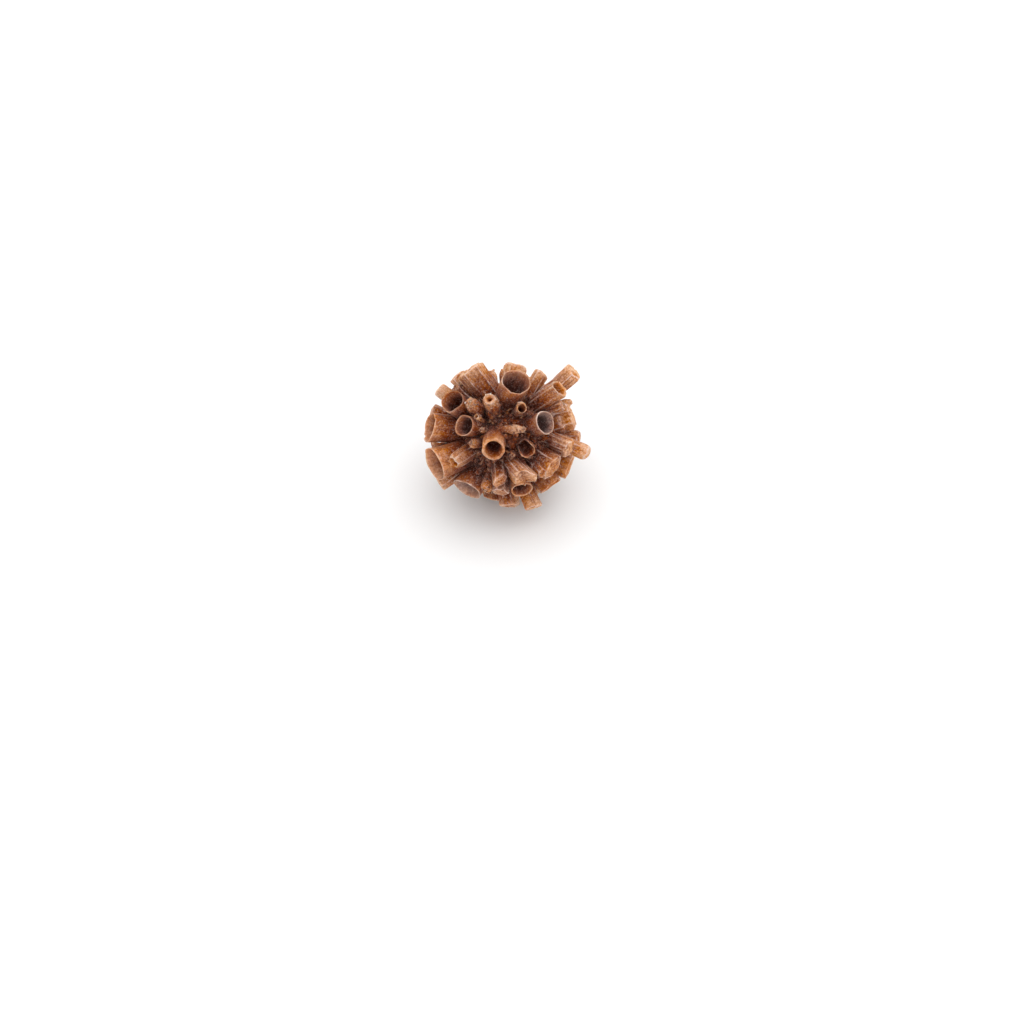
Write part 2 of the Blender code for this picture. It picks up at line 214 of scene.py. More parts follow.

# The rings of an end face, as shares of its width. Then a tube's lip, from outside to within: how far in each
# ring lies and how far down, as shares of the wall, and how pale its painted highlight is. Then the rings of
# its bore, as shares of its depth
END_RINGS = (0.95, 0.86, 0.75, 0.63, 0.5, 0.37, 0.24, 0.12, 0.03)
LIP_RINGS = ((0.04, 0.25, 0.7), (0.15, 0.08, 0.5), (0.35, 0.0, 0.2), (0.65, 0.1, 0.1), (0.9, 0.4, 0.1))
BORE_RINGS = (0.03, 0.08, 0.16, 0.26, 0.37, 0.48, 0.59, 0.7, 0.8, 0.88, 0.94, 0.98, 1.0)

# Heights and widths of the rings of a small pointed crystal round the core, as shares
DRUSE_HEIGHTS = np.array((0.0, 0.3, 0.45, 0.58, 0.7, 0.8, 0.88, 0.94, 0.98, 1.0))
DRUSE_WIDTHS = np.array((1.0, 1.0, 1.0, 1.0, 1.0, 0.98, 0.9, 0.78, 0.56, 0.2))
DRUSE_SPOKES = 20

# The core's rings and spokes, and the length and height of its lumps and of the grains on them
CORE_RINGS, CORE_SPOKES = 140, 260
CORE_LUMPS = (1.7, 1.9)
CORE_GRAINS = (0.6, 0.8)

# Tiny blocky crystals: those on the sides of larger ones, and those of the crust between the roots, with the
# least distance of the crust from the centre and how much more it may be
BLOCK_SIDES = (4, 5, 6)
BLOCK_HEIGHT = (0.1, 0.35)
GRAIN_WIDTH = (0.28, 0.6)
GRAINS_AT_ROOT = 24
GRAINS_ALL_OVER = 220
CRUST_WIDTH = (0.3, 0.7)
CRUST_REACH = (10.6, 1.5)
CRUST_FOOT = 9.4
CRUST_SCATTER = 0.06
CRUST_BORE_MARGIN = 0.3
PALEST_CRUST = 19.0

# The side on which a tube's wall is broken away, as (right, up, near), and how deep; and how deep the groove
# across an end face is
BROKEN = {
    "middle right tube": ((-1.0, 1.0, 0.0), 2.8),
    "front left prism": ((1.0, -1.0, 0.0), 0.6),
    "right cup": ((1.0, -0.6, 0.0), 0.4),
}
GROOVED = {"bright twin": 1.4, "top fan": 0.3}
GROOVE_REACH = 1.7

# Where a crystal differs a little from its solid: a finer hole at the tip, or a fuller body that closes a gap
TUNED = {
    "tiny tube": {"bore": 0.42},
    "tiny stub": {"bore": 0.42},
    "knob": {"bore": 0.22, "width": 4.2},
    "cross stub": {"width": 2.4},
    "left shelf": {"width": 3.6},
    "right knob": {"width": 3.2},
    "top left prism": {"width": 2.7},
}

# Small crystals painted white as glints, as (right, up, near)
SPARKLES = ((-3.6, 10.1, 14.4), (-9.5, 8.1, 12.7))
SPARKLE_WIDTH = 0.55
SPARKLE_GLINT = 10.0

# The floor, the lamp's place and the camera's distance, in metres, and how far from the cluster's centre the
# camera aims, in pixels of the photograph
FLOOR_HALF = 1.5
LAMP_PLACE = (0.08, 0.06)
CAMERA_DISTANCE = 0.6827
MM_PER_PIXEL = 0.24
AIM_RIGHT, AIM_DOWN = 6, 75

# Tone is from 0, dark rust, to 1, pale honey. Grey takes the warmth out, of a tube mostly within. Grain
# roughens. Bore is how little painted shade darkens a tube within, rib how deep its ribs or a prism's columns
# are, and with them a solid crystal's painted shade in its grooves, dome how far an end face falls from its
# middle to its rim, and lip how strong the painted highlight on a tube's lip is
Look = namedtuple("Look", "tone grey grain bore rib dome lip", defaults=(0.0, 0.35, 0.4, 1.0, 0.25, 0.1))
LOOKS = {
    "front cup": Look(0.62, 0.0, 0.6, 0.62),
    "top cup": Look(0.56, 0.3, 0.4, 0.62),
    "upper left cup": Look(0.5, 0.15, 0.6, 0.62, lip=0.0),
    "middle left cup": Look(0.5, 0.25, 0.4, 0.72, lip=0.0),
    "left cup": Look(0.62, 0.15, 0.4, 0.8),
    "lower left cup": Look(0.66, 0.25, 0.4, 0.85),
    "bottom left cup": Look(0.52, 0.6, 0.3, 0.9, lip=0.8),
    "right cup": Look(0.52, 0.7, 0.4, 0.75, lip=0.9),
    "upper right tube": Look(0.74, 0.0, 0.3, 0.7, 1.3, lip=0.9),
    "tube under the twin": Look(0.58, 0.1, 0.5, 0.45, lip=0.0),
    "middle right tube": Look(0.54, 0.1, 0.9, 0.55, lip=0.1),
    "small upper tube": Look(0.6, 0.1, 1.0, 0.95, lip=0.2),
    "knob": Look(0.66, 0.0, 1.0, 0.7, lip=0.9),
    "lower right tube": Look(0.74, 0.0, 0.3, 0.7),
    "bottom right tube": Look(0.58, 0.0, 0.4, 0.7),
    "upper left slab": Look(0.78, 0.0, 0.4, dome=0.4),
    "slab behind": Look(0.84, 0.0, 0.3, dome=0.4),
    "left blob": Look(0.56, 0.0, 0.9),
    "far left prism": Look(0.9, 0.0, 0.2, rib=0.4, dome=0.7),
    "left prism": Look(0.66, 0.0, 0.6),
    "grainy prism": Look(0.44, 0.2, 1.0),
    "front left prism": Look(0.74, 0.0, 0.4, 0.9, 0.5, lip=0.9),
    "left shelf": Look(0.6, 0.05, 0.4),
    "lower left prism": Look(0.68, 0.0, 0.5, rib=0.6),
    "bottom stub": Look(0.6, 0.0, 0.8),
    "dark prism": Look(0.5, 0.0, 0.5, rib=0.3),
    "grey prism": Look(0.5, 0.35, 0.4, rib=0.3),
    "bottom prism": Look(0.58, 0.05, 0.4, rib=0.5),
    "lowest prism": Look(0.76, 0.0, 0.3, rib=0.6),
    "bright twin": Look(0.76, 0.05, 0.5, rib=1.5, dome=0.5),
    "right dark prism": Look(0.54, 0.0, 0.4, rib=0.15, dome=0.1),
    "prism corner": Look(0.5, 0.0, 0.6, rib=0.3),
    "right ridged twin": Look(0.72, 0.0, 0.4, rib=1.4),
    "rightmost prism": Look(0.84, 0.0, 0.2, rib=0.3, dome=1.0),
    "right back prism": Look(0.7, 0.05, 0.3, rib=0.6, dome=0.7),
    "right fan": Look(0.78, 0.0, 0.3, rib=0.25, dome=0.9),
    "right knob": Look(0.76, 0.0, 0.3),
    "longest prism": Look(0.82, 0.0, 0.25, dome=0.5),
    "lower slab": Look(0.64, 0.1, 0.7),
    "top fan": Look(0.92, 0.0, 0.2, rib=0.35, dome=1.0),
    "top left prism": Look(0.82, 0.1, 0.3),
    "top sliver": Look(0.66, 0.1, 0.4),
    "left lump": Look(0.6, 0.0, 0.8),
    "middle lump": Look(0.56, 0.05, 0.8),
    "top right prism": Look(0.86, 0.0, 0.25, rib=0.5, dome=0.7),
    "cross stub": Look(0.74, 0.05, 0.9),
    "tiny stub": Look(0.8, 0.1, 0.8, lip=0.6),
    "tiny tube": Look(0.8, 0.1, 0.8, lip=0.6),
}


def linear(code):
    """The linear colour of an sRGB hex code."""
    parts = [int(code[place : place + 2], 16) / 255.0 for place in (1, 3, 5)]
    return tuple(part / 12.92 if part <= 0.04045 else ((part + 0.055) / 1.055) ** 2.4 for part in parts)


def size_setting(name, description, size, low=0.0):
    """A setting for a length, given here in millimetres."""
    return FloatProperty(name=name, description=description, default=size * MM, min=low * MM, unit="LENGTH")


def colour_setting(name, description, code):
    """A setting for a colour, given here as an sRGB hex code."""
    return FloatVectorProperty(name=name, description=description, default=linear(code), subtype="COLOR")


class CrystalSizes(PropertyGroup):
    """Sizes of the relief on the crystals."""

    column_width: size_setting("Column Width", "Width of a prism's parallel columns", 1.3, 0.3)
    ledge_depth: size_setting("Ledge Depth", "How far a prism steps in where a column ends early", 0.26)
    rim_wave: size_setting("Rim Wave", "How far the mouth of a tube rises and falls", 0.2)
    grain_height: size_setting("Grain Height", "Height of the sugary grain on the roughest crystals", 0.11)
    swelling: size_setting("Swelling", "How far a crystal's sides swell, narrow and bend", 0.2)
    crust_count: IntProperty(
        name="Crust Crystals", description="Number of tiny crystals on the core", default=4400, min=0
    )


class StoneColours(PropertyGroup):
    """Colours of the stone, from the deepest gaps to the palest tips."""

    # The darkest stop, which the stone nears at the core and which painted shade in grooves and bores goes
    # towards
    umber: colour_setting("Umber", "Iron-rich stone at the roots", "#4A1A08")
    rust: colour_setting("Rust", "Dark red-brown stone", "#7F3B1A")
    amber: colour_setting("Amber", "Most of the stone", "#A76331")
    tan: colour_setting("Tan", "Stone towards the tips", "#CC8D58")
    honey: colour_setting("Honey", "The palest, clearest stone", "#E4B994")
    # The colour of the painted highlight on edges and rims, of the painted glints and of the frosty specks
    pale_highlight: colour_setting("Pale Edge", "Worn edges and rims", "#E3CDC4")


class StudioLight(PropertyGroup):
    """The soft box over the cluster, and the light of the room."""

    box_side: size_setting("Soft Box Side", "Side of the square soft box", 600.0)
    box_height: size_setting("Soft Box Height", "Height over the floor", 420.0)
    box_power: FloatProperty(name="Soft Box Power", description="Power in watts", default=0.75, unit="POWER")
    room_strength: FloatProperty(
        name="Room Strength", description="Brightness of the white room", default=1.12, min=0.0
    )


def smooth(low, high, value):
    """Eases from 0 at low to 1 at high."""
    share = np.clip((value - low) / (high - low), 0.0, 1.0)
    return share * share * (3.0 - 2.0 * share)


def chance(*numbers):
    """A fixed number from 0 to 1 for each set of whole numbers."""
    mixed = np.zeros(np.broadcast(*numbers, np.zeros(1)).shape, np.uint32)
    for number in numbers:
        mixed = (mixed ^ np.asarray(number).astype(np.int64).astype(np.uint32)) * np.uint32(0x9E3779B1)
        mixed = (mixed ^ (mixed >> np.uint32(15))) * np.uint32(0x85EBCA77)
        mixed = mixed ^ (mixed >> np.uint32(13))
    return mixed / 2.0**32


def soft_noise(places, seed):
    """Smooth noise from 0 to 1, with about one swell in each unit of length."""
    whole = np.floor(places).astype(np.int64)
    share = places - whole
    share = share * share * (3.0 - 2.0 * share)
    total = 0.0
    for corner in product((0, 1), repeat=3):
        weight = np.prod(np.where(corner, share, 1.0 - share), axis=-1)
        total = total + weight * chance(*np.moveaxis(whole + corner, -1, 0), seed)
    return total


def side_noise(full, along, width, length, seed):
    """Soft noise on a crystal's sides, with swells of one width round it and one length along it."""
    spots = np.broadcast_arrays(full[:, 0] / width, full[:, 1] / width, along / length)
    return soft_noise(np.stack(spots, axis=-1), seed)


def sugary(places, seed):
    """Coarse grains with finer ones on them."""
    coarse, fine = GRAIN_SIZES
    return soft_noise(places / coarse, seed) + 0.5 * soft_noise(places / fine, seed + 1)


def columns(places, width, seed):
    """The column that each place of a section lies in, how far its border is, and the way from its middle."""
    places = places / width
    whole = np.floor(places).astype(np.int64)
    nearest = np.full(places.shape[:-1], 9.0)
    second, number, offset = nearest.copy(), np.zeros(nearest.shape, np.int64), np.zeros(places.shape)
    for step in product((-1, 0, 1), repeat=2):
        column, row = np.moveaxis(whole + step, -1, 0)
        middle = np.stack([column + chance(column, row, seed), row + chance(column, row, seed + 1)], -1)
        away = np.linalg.norm(places - middle, axis=-1)
        number = np.where(away < nearest, column * 7919 + row, number)
        offset = np.where((away < nearest)[..., None], places - middle, offset)
        second = np.minimum(second, np.maximum(away, nearest))
        nearest = np.minimum(nearest, away)
    return number, (second - nearest) * width / 2.0, offset * width


def from_sight(place):
    """The point, from the cluster's centre, that a (right, up, near) triple names."""
    right, up, near = place
    return RIGHT * right + UP * up + NEAR * near


def to_sight(point):
    """The (right, up, near) triple of a point, from the cluster's centre."""
    return tuple(point.dot(axis) for axis in (RIGHT, UP, NEAR))


def jitter(rng, size):
    """A short step in a chance direction."""
    return Vector([rng.uniform(-size, size) for _ in range(3)])


def turned_to(way):
    """A matrix whose Z runs along a direction."""
    return np.array(way.to_track_quat("Z", "Y").to_matrix())


def spiral_way(spot, spots, rng, scatter):
    """One of a number of directions spread evenly all round, like seeds on a round head."""
    height = 1.0 - 2.0 * (spot + 0.5) / spots
    ring = math.sqrt(1.0 - height * height)
    turn = GOLDEN_TURN * spot
    way = Vector((ring * math.cos(turn), ring * math.sin(turn), height))
    return (way + jitter(rng, scatter)).normalized()


def far_side_crystals():
    """Crystals that fill the side away from the line of sight, between the named ones."""
    taken = [(from_sight(crystal.tip).normalized(), crystal.width) for crystal in CRYSTALS.values()]
    found = {}
    for spot in range(FAR_SIDE_SPOTS):
        rng = random.Random(f"{SEED} spot {spot}")
        way = spiral_way(spot, FAR_SIDE_SPOTS, rng, FAR_SIDE_SCATTER)
        reach, width = rng.uniform(*FAR_SIDE_REACH), rng.uniform(*FAR_SIDE_WIDTH)
        form, bore = rng.choice(FAR_SIDE_FORMS), rng.uniform(*FAR_SIDE_BORE)
        crowded = any(way.angle(other) < SPACING_PER_WIDTH * (width + wide) / 2.0 for other, wide in taken)
        if crowded or way.dot(NEAR) > FAR_SIDE_MOST_NEAR:
            continue
        taken.append((way, width))
        spread = way.cross(NEAR).length
        reach = min(reach, FAR_SIDE_EDGE / spread)
        if way.z < 0.0:
            reach = min(reach, (CENTRE.z - GROUND_GAP - width / 2.0) / -way.z)
        found[f"far {spot}"] = Crystal(form, to_sight(way * reach), width, bore=bore)
    return found


def axis_of(crystal):
    """Where a crystal starts in the core, its direction and its length."""
    root, tip = from_sight(crystal.root), from_sight(crystal.tip)
    axis = (tip - root).normalized()
    start = root + axis * max(0.0, CORE_RADIUS * ROOT_SHARE_OF_CORE - root.length)
    return start, axis, (tip - start).length


def in_a_bore(place, margin, crystals):
    """Whether a place, from the cluster's centre, is in, near or over the hollow of a crystal."""
    for crystal in crystals:
        start, axis, length = axis_of(crystal)
        along = (place - start).dot(axis)
        across = (place - start - axis * along).length
        above_floor = crystal.bore > SHALLOW_BORE and along > length * (1.0 - BORE_DEPTH_SHARE)
        if above_floor and across < crystal.bore * crystal.width / 2.0 + margin:
            return True
    return False


def stand_of(crystal, rng):
    """A matrix whose Z runs from the crystal's root to its tip, turned about it by chance, and the length."""
    start, axis, length = axis_of(crystal)
    across = (NEAR - axis * NEAR.dot(axis)).normalized()
    basis = Matrix((across.cross(axis), across, axis)).transposed()
    if crystal.flat == 1.0:
        basis = basis @ Matrix.Rotation(rng.uniform(0.0, math.pi / 3.0), 3, "Z")
    return Matrix.Translation(start) @ basis.to_4x4(), length


def cross_section(form, flat, rng):
    """The corners of a crystal's section, about one unit from its middle."""
    corners = []
    for index in range(FORMS[form].sides):
        turn = 2.0 * math.pi * index / FORMS[form].sides
        radius = 1.0 + rng.uniform(-1.0, 1.0) * FORMS[form].scatter
        if form == "twin" and index % 2:
            radius *= TWIN_NOTCH
        corners.append((radius * math.cos(turn), radius * flat * math.sin(turn)))
    return np.array(corners)


Grown = namedtuple("Grown", "form corners stand length radius lean look seed broken grooved")


def grown(name, crystal):
    """What the seeded rule gives a crystal, drawn in the solid's order."""
    rng = random.Random(f"{SEED} {name}")
    form = "ledged" if crystal.form == "prism" and rng.random() < LEDGED_SHARE else crystal.form
    corners = cross_section(form, crystal.flat, rng)
    stand, length = stand_of(crystal, rng)
    lean = [rng.uniform(-END_TILT, END_TILT) for _ in range(2)]
    inward = stand.to_3x3().inverted()
    if crystal.lean:
        lean = (stand.to_3x3().transposed() @ from_sight(crystal.lean))[:2]
    by_chance = Look(rng.uniform(0.45, 0.85), rng.uniform(0.0, 0.4) ** 1.5, rng.uniform(0.2, 0.7), 0.7)
    seed = rng.randrange(10**6)
    side, depth = BROKEN.get(name, ((0.0, 1.0, 0.0), 0.0))
    side = inward @ from_sight(side)
    across = inward @ NEAR.cross(stand.col[2].to_3d())
    broken, grooved = (math.atan2(side.y, side.x), depth), (across.normalized(), GROOVED.get(name, 0.0))
    look = LOOKS.get(name, by_chance)
    return Grown(form, corners, stand, length, crystal.width / 2.0, lean, look, seed, broken, grooved)


def out_of_bores(places, own, hollows):
    """Moves places that lie in the bore of another crystal into its wall."""
    places = places.copy()
    for crystal, made in hollows:
        turn, foot = np.array(made.stand)[:3, :3], np.array(made.stand)[:3, 3]
        mouth = foot + turn[:, 2] * made.length + MIDDLE
        if made is own or np.linalg.norm(places.mean(axis=(0, 1)) - mouth) > BORE_NEIGHBOUR:
            continue
        local = (places - foot - MIDDLE) @ turn
        share = (made.length - local[..., 2]) / bore_depth(crystal, made)
        across = np.hypot(local[..., 0], local[..., 1])
        wall = (0.5 + 0.5 * crystal.bore) * made.radius
        within = (share < 1.0) & (local[..., 2] < made.length + 0.3) & (across < wall - 0.01)
        local[within, :2] *= (wall / np.maximum(across, 0.05))[within][:, None]
        places[within] = local[within] @ turn.T + foot + MIDDLE
    return places


class StoneMesh:
    """Gathers crystals ring by ring, with what the finish reads at each point, into one piece."""

    def __init__(self, hollows=()):
        self.places, self.faces, self.count, self.hollows = [], [], 0, hollows
        self.notes = {"rise_highlight_and_shade": [], "tone_grey_and_bore_shade": [], "along": []}

    def add_rings(self, places, local, rise_highlight_and_shade, tone_grey_and_bore_shade, own=None):
        """Joins rings of places from the root up, and closes both ends.

        The first notes are how far out each place lies, how much painted highlight it has, and how much
        painted shade in grooves and dips; the second its tone, its greyness and its painted shade deep in a
        bore. Local is where it lies in its own crystal.
        """
        places = out_of_bores(places, own, self.hollows)
        rings, spokes = places.shape[:2]
        spots = self.count + np.arange(rings * spokes).reshape(rings, spokes)
        after = np.roll(spots, -1, axis=1)
        quads = np.stack([spots[:-1], after[:-1], after[1:], spots[1:]], axis=-1)
        self.faces += quads.reshape(-1, 4).tolist()
        self.faces += [spots[0, ::-1].tolist(), spots[-1].tolist()]
        edge_highlight_and_frost = places.reshape(-1, 3).copy()
        edge_highlight_and_frost[:, 2] = np.maximum(edge_highlight_and_frost[:, 2], 0.0)
        self.places.append(edge_highlight_and_frost)
        for name, parts in (("rise_highlight_and_shade", rise_highlight_and_shade), ("tone_grey_and_bore_shade", tone_grey_and_bore_shade), ("along", np.moveaxis(local, -1, 0))):
            parts = np.stack(np.broadcast_arrays(*parts), axis=-1)
            self.notes[name].append(np.broadcast_to(parts, places.shape).reshape(-1, 3))
        self.count += rings * spokes

    def finish(self, name, material, sharp):
        """Makes the piece, with sharp edges where two faces meet at a clear angle."""
        data = bpy.data.meshes.new(name)
        data.from_pydata(np.concatenate(self.places) * MM, [], self.faces)
        for note, parts in self.notes.items():
            values = data.attributes.new(note, "FLOAT_VECTOR", "POINT").data
            values.foreach_set("vector", np.concatenate(parts).astype(np.float32).ravel())
        data.shade_smooth()
        data.set_sharp_from_angle(angle=math.radians(sharp))
        data.materials.append(material)
        piece = bpy.data.objects.new(name, data)
        bpy.context.scene.collection.objects.link(piece)
        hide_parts("star_cluster")
        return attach(piece, "root")


def spread_between(corners, spokes):
    """Points spread evenly along the straight sides of a section, and how far each is from a corner."""
    share = (np.arange(spokes // len(corners)) / (spokes // len(corners)))[:, None]
    after = np.roll(corners, -1, axis=0)[:, None]
    points = (corners[:, None] * (1.0 - share) + after * share).reshape(-1, 2)
    side = np.linalg.norm(after[:, 0] - corners, axis=-1)[:, None]
    return points, (np.minimum(share, 1.0 - share).T * side).ravel()


def spread_round(corners, spokes):
    """Points on a round section whose radius eases from corner to corner."""
    turns = np.arange(spokes) / spokes
    radii = np.hypot(*corners.T)
    eased = np.interp(turns * len(radii), np.arange(len(radii)), radii, period=len(radii))
    return eased[:, None] * np.stack([np.cos(turns * math.tau), np.sin(turns * math.tau)], axis=-1)


def heights_of(length):
    """Shares of a crystal's length at which it has rings: few where it is buried, many at the tip."""
    open_length = length - BURIED - TIP_LENGTH
    buried = np.linspace(0.0, BURIED, 4)[:-1]
    middle = np.linspace(BURIED, length - TIP_LENGTH, max(4, int(open_length / RING_SPACING)))
    tip = np.linspace(length - TIP_LENGTH, length, int(TIP_LENGTH / TIP_SPACING) + 1)[1:]
    return np.concatenate([buried, middle, tip]) / length


def rings_at(section, heights):
    """Places that lie across a crystal as a section does, at the heights given."""
    return np.stack(np.broadcast_arrays(section[..., 0], section[..., 1], heights), axis=-1)


def uneven(local, made, sizes):
    """Makes a crystal swell, narrow and bend a little along its length, as real ones do."""
    swell = soft_noise(local / SWELL_LENGTH, made.seed + 20) - 0.5
    heights = np.stack([local[..., 2] / BEND_LENGTH, 0.0 * swell, 0.0 * swell], axis=-1)
    bend = np.stack([soft_noise(heights, made.seed + part) - 0.5 for part in (21, 22)], axis=-1)
    local = local.copy()
    local[..., :2] *= (1.0 + 2.0 * swell * sizes.swelling / MM / made.radius)[..., None]
    local[..., :2] += 2.0 * bend * sizes.swelling / MM
    return local


def placed(local, made):
    """Puts places of a crystal, in its own directions, where it stands in the cluster."""
    lean_x, lean_y = made.lean
    tilt = (lean_x * local[..., 0] + lean_y * local[..., 1]) / made.length
    matrix = np.array(made.stand)
    return rings_at(local, local[..., 2] * (1.0 + tilt)) @ matrix[:3, :3].T + matrix[:3, 3] + MIDDLE


def rise_of(places, tip=PALEST_CRUST, most=1.0):
    """From 0 at the core to 1 at the distance of a tip."""
    away = np.linalg.norm(places - MIDDLE, axis=-1)
    return np.clip((away - CORE_RADIUS) / (tip - CORE_RADIUS), 0.0, most)


def column_tops(section, made, width):
    """How far below the tip each place of an end face lies, and the painted shade along its column's border.
    """
    number, border, offset = columns(section, width, made.seed)
    drop = FORMS[made.form].drop
    low = chance(number, 5) ** 2.0 * drop + 2.0 * drop * (chance(number, 6) > 0.9)
    slope = np.stack([chance(number, 8), chance(number, 9)], -1) - 0.5
    across, depth = made.grooved
    groove = depth * np.clip(1.0 - np.abs(section @ np.array(across)[:2]) / GROOVE_REACH, 0.0, 1.0)
    away = np.linalg.norm(section, axis=-1) / made.radius
    dome = made.look.dome * away**3.0
    return low + groove + dome + TOP_SLOPE * np.sum(slope * offset, axis=-1), np.exp(-border / CRACK_WIDTH)


def add_grains(mesh, places, local, made):
    """Tiny crystals on a crystal's sides: a few round its root, and many all over where it is grainy."""
    rng = random.Random(made.seed)
    turned = np.array(made.stand)[:3, :3]
    whole = max(0.0, made.look.grain - 0.5)
    for _ in range(int(GRAINS_AT_ROOT + GRAINS_ALL_OVER * whole)):
        ring, spoke = rng.randrange(places.shape[0]), rng.randrange(places.shape[1])
        place = Vector(places[ring, spoke])
        away = (place - CENTRE).length
        if away < CORE_RADIUS or rng.random() > whole + math.exp((10.5 - away) / 1.6) or place.z < 0.8:
            continue
        outward = Vector(turned @ [*local[ring, spoke, :2], 0.0]).normalized()
        way = (outward + jitter(rng, 0.8)).normalized()
        sides, width = rng.choice(BLOCK_SIDES), rng.uniform(*GRAIN_WIDTH)
        tone = min(made.look.tone, 0.68) + rng.uniform(-0.2, 0.3)
        high, tip_share = rng.uniform(*BLOCK_HEIGHT), rng.uniform(0.5, 0.9)
        add_block(mesh, place, way, sides, width, -0.3, high, tip_share, tone, rng)


def bore_depth(crystal, made):
    """How deep a bore is, a little more than the solid's."""
    if crystal.bore > SHALLOW_BORE:
        return BORE_DEPTH_SHARE * made.length * 1.1
    return SHALLOW_DEPTH_SHARE * crystal.width * 1.1


def grow_solid(mesh, crystal, made, sizes):
    """A prism, twin or stub: parallel columns that end at different heights round an uneven end face."""
    length, radius, seed, look = made.length, crystal.width / 2.0, made.seed, made.look
    form = FORMS[made.form]
    outline, corner = spread_between(made.corners, form.spokes)
    if crystal.form == "stub":
        outline, corner = spread_round(made.corners, form.spokes), NO_CORNER
    full = outline * radius

    # Columns, some of which end early and leave a ledge
    width, deep = sizes.column_width / MM, sizes.ledge_depth / MM
    number, border, _ = columns(full * 0.94, width, seed)
    stripe, _, _ = columns(full, STRIPE_WIDTH, seed + 2)
    share = heights_of(length)[:, None]
    early = np.where(chance(number, 1) < form.early, 0.6 + 0.38 * chance(number, 2), 2.0)
    if made.form == "ledged":
        early, deep = np.minimum(early, 0.76 + 0.08 * chance(number, 3)), 0.15 * radius
    below = column_tops(full * 0.97, made, width)[0]
    along = share * (length - below)
    shadows, groove = 1.0 - chance(stripe, 11), np.exp(-border / GROOVE_WIDTH)
    lumps = side_noise(full, along, *SOLID_LUMPS, seed + 7)
    inward = (
        chance(number, 4) ** 1.5 * form.set_back * look.rib
        + smooth(early - 0.008, early + 0.008, share) * deep * (0.6 + 0.8 * chance(number, 7))
        + shadows * form.stripe * look.rib
        + groove * GROOVE_DEPTH * look.rib
        + lumps * (STUB_LUMP_DEPTH if crystal.form == "stub" else 0.0)
        + np.exp(-corner * radius / 0.08) * 0.04
    )
    taper = crystal.foot + (1.0 - crystal.foot) * share - np.interp(share, *form.end)
    away = np.linalg.norm(full, axis=-1)
    sides = rings_at(full * (taper * (1.0 - inward / away))[..., None], along)
    grain = max(0.0, look.grain - 0.4) * sizes.grain_height / MM
    bumps = sugary(sides, seed + 9) * (1.0 + 1.5 * (1.0 - smooth(5.0, 10.0, along)))
    sides[..., :2] *= (1.0 + (bumps - 0.75) * grain / away * taper)[..., None]
    # Painted highlight on the corners, column tops and ledges, and painted shade in the grooves and between
    # the stripes
    corner_highlight = np.exp(-corner * radius / CORNER_HIGHLIGHT) * (0.55 + 0.45 * share)
    ledge_highlight = np.exp(-np.abs(share - early) * length / LEDGE_HIGHLIGHT) * (share > 0.2)
    edge = np.maximum(corner_highlight, np.exp(-(length - below - along) / END_HIGHLIGHT))
    edge = np.maximum(edge, ledge_highlight)
    hollow = np.clip(groove + 0.5 * shadows - 0.25, 0.0, 1.0) * min(1.0, look.rib) + 0.0 * along

    # The end face, whose columns have tops of their own
    inwards = np.array(END_RINGS)[:, None]
    section = sides[-1, :, :2] * inwards[..., None]
    low, painted_seam_shade = column_tops(section, made, width)
    end = rings_at(section, length - low)
    end[..., 2] += (soft_noise(end / GRAIN_SIZES[0], seed + 9) - 0.5) * grain
    # Painted highlight round the rim of the end face
    end_edge = np.exp(-(1.0 - inwards) * radius / END_HIGHLIGHT) + 0.0 * low
    if crystal.form == "stub":
        edge, end_edge, hollow, painted_seam_shade = edge * 0.2, end_edge * 0.2, hollow * 0.3, painted_seam_shade * 0.3
    local = np.concatenate([sides, end])
    places = placed(uneven(local, made, sizes), made)
    edge = np.concatenate([edge, end_edge])
    # On the end face, painted shade along the columns' borders and on the lower column tops
    hollow = np.concatenate([hollow, np.clip(painted_seam_shade * 0.5 + 0.4 * low, 0.0, 1.0)])
    rise_highlight_and_shade = (rise_of(places, from_sight(crystal.tip).length, 1.1), edge, hollow)
    mesh.add_rings(places, local, rise_highlight_and_shade, (look.tone, look.grey, 0.0), made)
    add_grains(mesh, places, local, made)


